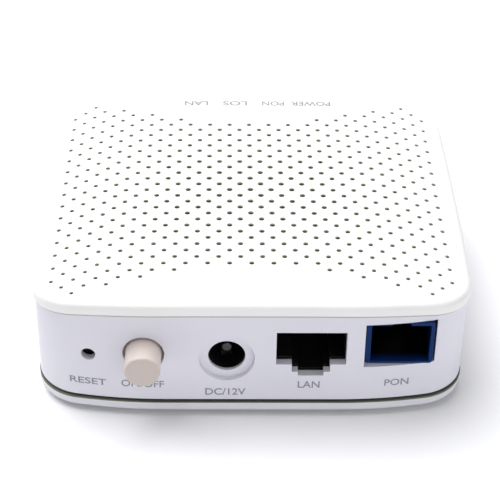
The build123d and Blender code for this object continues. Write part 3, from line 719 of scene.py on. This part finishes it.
        # the size and the choice are kept on the points before they are lifted, because both read their flat places
        kept = add_node(tree, "GeometryNodeStoreNamedAttribute", {"Geometry": grid.outputs["Mesh"], "Name": "hole_size",
                                                                  "Value": size.outputs[0]},
                        data_type="FLOAT_VECTOR", domain="POINT")
        marked = add_node(tree, "GeometryNodeStoreNamedAttribute", {"Geometry": kept.outputs[0], "Name": "hole_here",
                                                                    "Value": shown.outputs[0]},
                          data_type="BOOLEAN", domain="POINT")
        raised = add_node(tree, "GeometryNodeSetPosition", {"Geometry": marked.outputs[0],
                                                            "Position": lift.outputs[0]})
        here = add_node(tree, "GeometryNodeInputNamedAttribute", {"Name": "hole_here"}, data_type="BOOLEAN")
        sized = add_node(tree, "GeometryNodeInputNamedAttribute", {"Name": "hole_size"}, data_type="FLOAT_VECTOR")
        punches = add_node(tree, "GeometryNodeInstanceOnPoints", {
            "Points": raised.outputs[0], "Selection": here.outputs[0], "Instance": punch.outputs[0],
            "Scale": sized.outputs[0]})
        solid = add_node(tree, "GeometryNodeRealizeInstances", {"Geometry": punches.outputs[0]})
        cut = add_node(tree, "GeometryNodeMeshBoolean", {"Mesh 1": at["Geometry"], "Mesh 2": solid.outputs[0]},
                       operation="DIFFERENCE", solver="MANIFOLD")
        whole = add_node(tree, "GeometryNodeRealizeInstances", {"Geometry": cut.outputs["Mesh"]})
        plastic = add_node(tree, "GeometryNodeSetMaterial", {"Geometry": whole.outputs[0],
                                                             "Material": at["Plastic"]})
        add_node(tree, "NodeGroupOutput", {0: plastic.outputs[0]})
        return tree

    def execute(self, context):
        case, vent = context.scene.terminal_case, context.scene.terminal_vents
        # the cover's holes are painted olive-grey inside, a painted shade for their shadowed walls
        plastic = moulded_abs("spark_textured_white_abs", tuple(context.scene.terminal_colours.cover), marked="holes")
        lid = bpy.data.objects.new("lid", self.lid(case))
        context.collection.objects.link(lid)
        holes = lid.modifiers.new("holes", "NODES")
        holes.node_group = self.drill()
        values = {"Half pitch": vent.pitch, "Widest hole": vent.wide, "Shrink": vent.shrink, "Reach": vent.reach,
                  "Rim": vent.rim, "Relief": vent.relief, "Crown drop": case.crown_drop,
                  "Crown power": case.crown_power, "Half width": HALF_WIDTH * MM, "Middle Y": CASE_Y * MM,
                  "Top": TOP * MM,
                  "Columns": vent.columns, "Rows": vent.rows, "Full rows": vent.full_rows,
                  "Corner reach": vent.corner_reach, "Hole sides": vent.sides, "Plastic": plastic}
        for socket in holes.node_group.interface.items_tree:
            if socket.in_out == "INPUT" and socket.name in values:
                holes[socket.identifier] = values[socket.name]
        context.view_layer.update()
        mesh = bake(lid)
        sharpen(mesh, 34)
        new_piece("cover_shell", mesh, plastic, "cover_plastic", "case", "top_cover")
        return {"FINISHED"}


class TERMINAL_OT_wall(bpy.types.Operator):
    """Builds the wall that carries the ports and the light windows"""
    bl_idname = "terminal.wall"
    bl_label = "Port wall"

    def execute(self, context):
        tones = context.scene.terminal_colours
        # the wall's top edge, in the step under the cover, gets a painted shadow
        plastic = moulded_abs("spark_textured_cool_white_abs", tuple(tones.wall), 0.3, 0.005, 0.42, 0.54, "step")
        mesh = softened("wall_frame", 0.1, joined="port_panel")
        true_normals(mesh)
        mesh.name = "wall_shell"
        new_piece("wall_shell", mesh, plastic, "wall_plastic", "case", "wall_frame", "port_panel")
        return {"FINISHED"}


class TERMINAL_OT_base(bpy.types.Operator):
    """Builds the base tray with its feet, label and screws"""
    bl_idname = "terminal.base"
    bl_label = "Base"

    def execute(self, context):
        tones = context.scene.terminal_colours
        # the base's rim at the seam gets a painted dark line of shade, thicker towards the corners
        plastic = moulded_abs("spark_textured_base_abs", tuple(tones.base), 0.4, 0.008, 0.44, 0.58, "seam")
        steel = plated_steel("zinc_plated_screw_steel", "B4B7BB", 0.28)
        for name, node, material, slot, edge in [
                ("base_shell", "base_tray", plastic, "base_plastic", 0.12),
                # the gasket is partly painted shade: it is dark so that the shadowed gap at the seam reads as a dark
                # line
                ("seam_gasket", "gasket_ring", silicone("dark_gasket_and_seam_shade", "1B1D14"), "gasket_rubber", 0.08),
                ("foot_pads", "rubber_feet", silicone("grey_silicone_foot", "8E8E90"), "foot_rubber", 0.15),
                ("blank_label", "rating_label", polyester_label("satin_polyester_label"), "label_paper", 0.03),
                ("shell_screws", "case_screws", steel, "screw_steel", 0.06),
                ("light_guides", "light_pipe", clear_polycarbonate("clear_polycarbonate"), "clear_plastic", 0.1)]:
            soft_piece(name, node, material, slot, "case", edge)
        return {"FINISHED"}


class TERMINAL_OT_ports(bpy.types.Operator):
    """Builds the network jack, the power inlet and the fibre receptacle"""
    bl_idname = "terminal.ports"
    bl_label = "Ports"

    def lead_in(self, mesh):
        """Widens the rounded edge of the receptacle's mouth to a lead-in, and leaves a gap at its right side."""
        low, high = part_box("optical_receptacle")
        middle = Vector(((low.x + high.x) / 2, 0, (low.z + high.z) / 2))
        half_wide, half_high, centre, lip, rounding, shell = (v * MM for v in (5.0, 4.3, 3.0, 0.1, 0.3, 8.0))
        wider, wider_behind, lower, set_back, gap = (v * MM for v in (0.4, 0.05, 0.3, 0.9, 0.25))
        for vert in mesh.vertices:
            apart, depth = vert.co - middle, vert.co.y - low.y
            if abs(apart.x) < half_wide and abs(apart.z) < half_high and depth < rounding:
                front = depth < lip
                if abs(apart.x) > centre:
                    vert.co.x += math.copysign(wider if front else wider_behind, apart.x)
                if front and apart.z < 0:
                    vert.co.z -= lower
                if not front:
                    vert.co.y += set_back
            elif apart.x > half_wide and depth < shell:
                vert.co.x -= gap

    def execute(self, context):
        tones = context.scene.terminal_colours
        black = glass_filled_pbt("glass_filled_black_pbt", "0A0A0B")
        tin = plated_steel("tin_plated_sheet", "C3C5C7", 0.3, size=0.5)
        gold = plated_steel("gold_plated_bronze", "D9B25A", 0.2, (1, 0.2, 1), 0.2)
        blue = blue_pbt_with_painted_throat_shade("blue_pbt_painted_throat_shade", tuple(tones.receptacle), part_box("optical_receptacle")[0].y)
        # the pin's nickel is made nearly black, a painted shade for the pin deep in the inlet
        nickel = plated_steel("nickel_pin_painted_shade", "4A4B49", 0.26, size=0.4)
        zirconia = fired_ceramic("polished_zirconia", "F0EEE6", 0.1, 0.18)
        for name, node, material, slot, edge, segments in [
                ("network_jack", "lan_jack_housing", black, "black_plastic", 0.1, 2),
                ("network_shield", "lan_jack_shield", tin, "shield_steel", 0.06, 2),
                ("network_contacts", "lan_jack_contacts", gold, "gold_contact", 0.04, 2),
                ("power_inlet", "dc_jack_body", black, "black_plastic", 0.1, 2),
                ("inlet_pin", "dc_jack_pin", nickel, "shield_steel", 0.55, 4),
                ("inlet_spring", "dc_jack_spring", tin, "shield_steel", 0.04, 2),
                ("fibre_receptacle", "optical_receptacle", blue, "blue_plastic", 0.2, 2),
                ("fibre_sleeve", "ferrule_sleeve", zirconia, "zirconia", 0.1, 2)]:
            piece = soft_piece(name, node, material, slot, "case", edge, segments)
            if name == "fibre_receptacle":
                self.lead_in(piece.data)
        return {"FINISHED"}


class TERMINAL_OT_buttons(bpy.types.Operator):
    """Builds the push button and the reset plunger with their switches"""
    bl_idname = "terminal.buttons"
    bl_label = "Buttons"

    def execute(self, context):
        tones = context.scene.terminal_colours
        ivory = polished_abs("polished_ivory_abs", tuple(tones.button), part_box("power_button_cap")[0].y)
        white = moulded_abs("off_white_switch_nylon", hex_colour("DEDCD3"), 0.4, 0.004)
        black = bpy.data.materials["glass_filled_black_pbt"]
        tin = bpy.data.materials["tin_plated_sheet"]
        for name, node, material, slot, body, edge, segments in [
                ("push_button", "power_button_cap", ivory, "button_plastic", "power_button", 0.1, 3),
                ("switch_stem", "power_switch_plunger", white, "switch_plastic", "power_button", 0.1, 2),
                ("switch_box", "power_switch_body", white, "switch_plastic", "case", 0.12, 2),
                ("reset_stem", "reset_plunger", black, "black_plastic", "reset_button", 0.06, 2),
                ("reset_box", "reset_switch_body", black, "black_plastic", "case", 0.1, 2),
                ("reset_frame", "reset_switch_bracket", tin, "shield_steel", "case", 0.04, 2)]:
            soft_piece(name, node, material, slot, body, edge, segments)
        return {"FINISHED"}


class TERMINAL_OT_board(bpy.types.Operator):
    """Gives the circuit board and what stands on it their finishes"""
    bl_idname = "terminal.board"
    bl_label = "Circuit board"

    def execute(self, context):
        tones = context.scene.terminal_colours
        finish_node("circuit_board", solder_mask_board("solder_masked_fr4", tuple(tones.board)))
        ready, epoxy = bpy.data.materials, epoxy_compound("chip_epoxy_compound")
        tin, nickel = ready["tin_plated_sheet"], plated_steel("nickel_plated_kovar", "BDB7AC", 0.22, size=0.25)
        aluminium = anodised_aluminium("extruded_anodised_aluminium")
        pad = silicone("blue_grey_silicone_pad", "7E8FA3", 0.5)
        sleeve, ferrite = sleeved_can("sleeved_capacitor_can"), epoxy_compound("coated_ferrite", "2A2A2C")
        clay = fired_ceramic("barium_titanate_ceramic", "A07E5B", 0.4, 0.55)
        for name, node, material, slot, edge in [
                ("processor", "main_chip", epoxy, "chip_epoxy", 0.08),
                ("memory", "memory_chip", epoxy, "chip_epoxy", 0.08),
                ("flash", "flash_chip", epoxy, "chip_epoxy", 0.08),
                ("line_transformer", "lan_transformer", epoxy, "chip_epoxy", 0.08),
                ("driver_can", "driver_shield", tin, "shield_steel", 0.1),
                ("crystal_can", "crystal", tin, "shield_steel", 0.12),
                ("optics_block", "transceiver_body", nickel, "transceiver_metal", 0.12),
                ("photodiode", "photodiode_can", nickel, "transceiver_metal", 0.12),
                ("laser", "laser_can", ready["gold_plated_bronze"], "gold_contact", 0.1),
                ("optics_cradle", "transceiver_cradle", ready["glass_filled_black_pbt"], "black_plastic", 0.12),
                ("cooling_fins", "heat_sink", aluminium, "sink_aluminium", 0.08),
                ("gap_pad", "thermal_pad", pad, "pad_silicone", 0.08),
                ("input_capacitors", "electrolytic_capacitors", sleeve, "capacitor_can", 0.15),
                ("inductors", "power_inductors", ferrite, "ferrite", 0.15),
                ("chip_capacitors", "ceramic_capacitors", clay, "chip_ceramic", 0.06),
                ("light_chips", "status_leds", led_package("white_led_package"), "led_resin", 0.06),
                ("board_fixings", "board_screws", ready["zinc_plated_screw_steel"], "screw_steel", 0.06)]:
            soft_piece(name, node, material, slot, "case", edge)
        return {"FINISHED"}


class TERMINAL_OT_legends(bpy.types.Operator):
    """Prints the plain legends under the ports and by the lights"""
    bl_idname = "terminal.legends"
    bl_label = "Legends"

    def letters(self, context, words, wide, high):
        """Flat letters as a mesh, centred, this wide and high in millimetres."""
        curve = bpy.data.curves.new("letters", "FONT")
        curve.body, curve.align_x, curve.resolution_u = words, "CENTER", 4
        curve.extrude, curve.offset = 0.5, 0.012
        text = bpy.data.objects.new("letters", curve)
        context.collection.objects.link(text)
        context.view_layer.update()
        graph = context.evaluated_depsgraph_get()
        mesh = bpy.data.meshes.new_from_object(text.evaluated_get(graph), depsgraph=graph)
        bpy.data.objects.remove(text)
        xs, ys = [v.co.x for v in mesh.vertices], [v.co.y for v in mesh.vertices]
        for vert in mesh.vertices:
            vert.co.x = (vert.co.x - (min(xs) + max(xs)) / 2) / (max(xs) - min(xs)) * wide
            vert.co.y = (vert.co.y - (min(ys) + max(ys)) / 2) / (max(ys) - min(ys)) * high
        return mesh

    def execute(self, context):
        ink = context.scene.terminal_print
        # how far the letters stand out and reach in, and the cap height and place of the light legends
        film, sunk, tall, behind = ink.film / MM, 0.03, 1.6, 31.1
        dark = printing_ink("grey_pad_print_ink", tuple(ink.port_ink))
        pale = printing_ink("pale_pad_print_ink", tuple(ink.top_ink))
        for words, low, high, foot, head in [("RESET", -31.5, -25.1, 6.3, 7.7), ("ON/OFF", -22.5, -15.1, 6.4, 7.9),
                                             ("DC/12V", -8.0, -1.0, 4.75, 6.25), ("LAN", 8.0, 11.8, 6.4, 7.9),
                                             ("PON", 23.05, 27.3, 6.5, 7.95)]:
            mesh = self.letters(context, words, high - low, head - foot)
            for vert in mesh.vertices:
                x, z = vert.co.x + (low + high) / 2, vert.co.y + (foot + head) / 2
                out = film if vert.co.z > 0 else -sunk
                vert.co = Vector((x, CASE_Y + wall_face(x) - out, z)) * MM
            new_piece("legend_" + words.replace("/", "_").lower(), mesh, dark, "wall_plastic", "case")
        for words, low, high in [("LAN", -12.75, -8.15), ("LOS", -5.14, -0.33), ("PON", 2.68, 7.1),
                                 ("POWER", 8.51, 16.34)]:
            mesh = self.letters(context, words, high - low, tall)
            for vert in mesh.vertices:
                x, y = -vert.co.x + (low + high) / 2, -vert.co.y + behind
                vert.co = Vector((x, y + CASE_Y, crown(x) + (film if vert.co.z > 0 else -sunk))) * MM
            new_piece("light_legend_" + words.lower(), mesh, pale, "cover_plastic", "case")
        return {"FINISHED"}


class TERMINAL_PT_panel(bpy.types.Panel):
    """The terminal's sizes, colours and pieces"""
    bl_idname = "TERMINAL_PT_panel"
    bl_label = "Optical network terminal"
    bl_space_type = "VIEW_3D"
    bl_region_type = "UI"
    bl_category = "Terminal"

    def draw(self, context):
        for group in ("terminal_case", "terminal_vents", "terminal_print", "terminal_colours"):
            box = self.layout.box()
            settings = getattr(context.scene, group)
            for key in settings.bl_rna.properties.keys():
                if key not in ("rna_type", "name"):
                    box.prop(settings, key)
        for operator in OPERATORS:
            self.layout.operator(operator.bl_idname)


GROUPS = {"terminal_case": TERMINAL_CaseSettings, "terminal_vents": TERMINAL_VentSettings,
          "terminal_print": TERMINAL_PrintSettings, "terminal_colours": TERMINAL_ColourSettings}
OPERATORS = (TERMINAL_OT_stage, TERMINAL_OT_cover, TERMINAL_OT_wall, TERMINAL_OT_base, TERMINAL_OT_ports,
             TERMINAL_OT_buttons, TERMINAL_OT_board, TERMINAL_OT_legends)


def register():
    for cls in (*GROUPS.values(), *OPERATORS, TERMINAL_PT_panel):
        bpy.utils.register_class(cls)
    for key, cls in GROUPS.items():
        setattr(bpy.types.Scene, key, PointerProperty(type=cls))


def unregister():
    for key in GROUPS:
        delattr(bpy.types.Scene, key)
    for cls in reversed((*GROUPS.values(), *OPERATORS, TERMINAL_PT_panel)):
        bpy.utils.unregister_class(cls)


def main():
    register()
    for operator in OPERATORS:
        family, name = operator.bl_idname.split(".")
        getattr(getattr(bpy.ops, family), name)()


if __name__ == "__main__":
    main()
